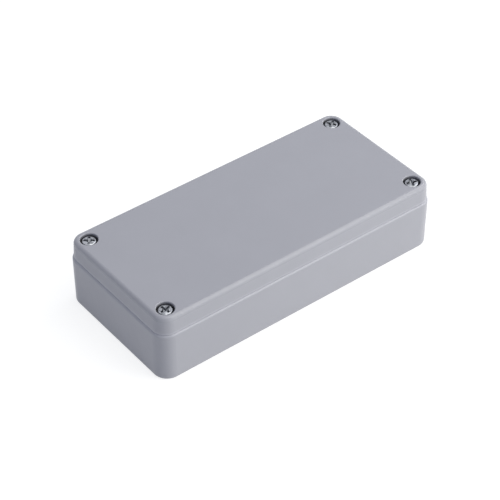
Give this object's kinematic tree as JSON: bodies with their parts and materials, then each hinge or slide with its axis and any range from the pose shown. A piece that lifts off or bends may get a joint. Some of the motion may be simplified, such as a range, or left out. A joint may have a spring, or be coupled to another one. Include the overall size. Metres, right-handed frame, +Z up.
{
  "type": "aluminium enclosure",
  "caption": "Low rectangular die-cast enclosure with a screwed lid, recessed captive corner screws and a gasket groove, for housing electronics.",
  "frame": {"origin": "centre of the underside of the base casting", "axes": "+X along the length, +Y across the width, +Z up through the lid"},
  "size_m": [0.16, 0.075, 0.036],
  "materials": {
    "powder_coat": "silver-grey powder coat on die-cast aluminium",
    "gasket_rubber": "matt black elastomer",
    "screw_steel": "stainless steel",
    "washer_nylon": "black nylon",
    "terminal_steel": "zinc-plated steel"
  },
  "bodies": {
    "base": {"base_casting": "powder_coat", "earth_washer": "terminal_steel", "earth_lock_washer": "terminal_steel", "earth_screw": "terminal_steel"},
    "lid": {"lid_casting": "powder_coat", "lid_gasket": "gasket_rubber"},
    "washer_front_left": {"screw_washer_front_left": "washer_nylon"},
    "screw_front_left": {"lid_screw_front_left": "screw_steel"},
    "washer_front_right": {"screw_washer_front_right": "washer_nylon"},
    "screw_front_right": {"lid_screw_front_right": "screw_steel"},
    "washer_back_left": {"screw_washer_back_left": "washer_nylon"},
    "screw_back_left": {"lid_screw_back_left": "screw_steel"},
    "washer_back_right": {"screw_washer_back_right": "washer_nylon"},
    "screw_back_right": {"lid_screw_back_right": "screw_steel"}
  },
  "joints": [
    {"name": "lid_lift", "type": "slide", "parent": "base", "child": "lid", "axis": [0, 0, 1], "range_m": [0, 0.06]},
    {"name": "screw_rise_front_left", "type": "slide", "parent": "lid", "child": "washer_front_left", "axis": [0, 0, 1], "range_m": [0, 0.0042]},
    {"name": "screw_turn_front_left", "type": "hinge", "parent": "washer_front_left", "child": "screw_front_left", "pos_m": [-0.072, -0.0295, 0.033], "axis": [0, 0, 1], "range_deg": [0, 2160]},
    {"name": "screw_rise_front_right", "type": "slide", "parent": "lid", "child": "washer_front_right", "axis": [0, 0, 1], "range_m": [0, 0.0042]},
    {"name": "screw_turn_front_right", "type": "hinge", "parent": "washer_front_right", "child": "screw_front_right", "pos_m": [0.072, -0.0295, 0.033], "axis": [0, 0, 1], "range_deg": [0, 2160]},
    {"name": "screw_rise_back_left", "type": "slide", "parent": "lid", "child": "washer_back_left", "axis": [0, 0, 1], "range_m": [0, 0.0042]},
    {"name": "screw_turn_back_left", "type": "hinge", "parent": "washer_back_left", "child": "screw_back_left", "pos_m": [-0.072, 0.0295, 0.033], "axis": [0, 0, 1], "range_deg": [0, 2160]},
    {"name": "screw_rise_back_right", "type": "slide", "parent": "lid", "child": "washer_back_right", "axis": [0, 0, 1], "range_m": [0, 0.0042]},
    {"name": "screw_turn_back_right", "type": "hinge", "parent": "washer_back_right", "child": "screw_back_right", "pos_m": [0.072, 0.0295, 0.033], "axis": [0, 0, 1], "range_deg": [0, 2160]}
  ],
  "couplings": [
    {"joint": "screw_turn_front_left", "follows": "screw_rise_front_left", "rad_per_m": 8976},
    {"joint": "screw_turn_front_right", "follows": "screw_rise_front_right", "rad_per_m": 8976},
    {"joint": "screw_turn_back_left", "follows": "screw_rise_back_left", "rad_per_m": 8976},
    {"joint": "screw_turn_back_right", "follows": "screw_rise_back_right", "rad_per_m": 8976}
  ]
}
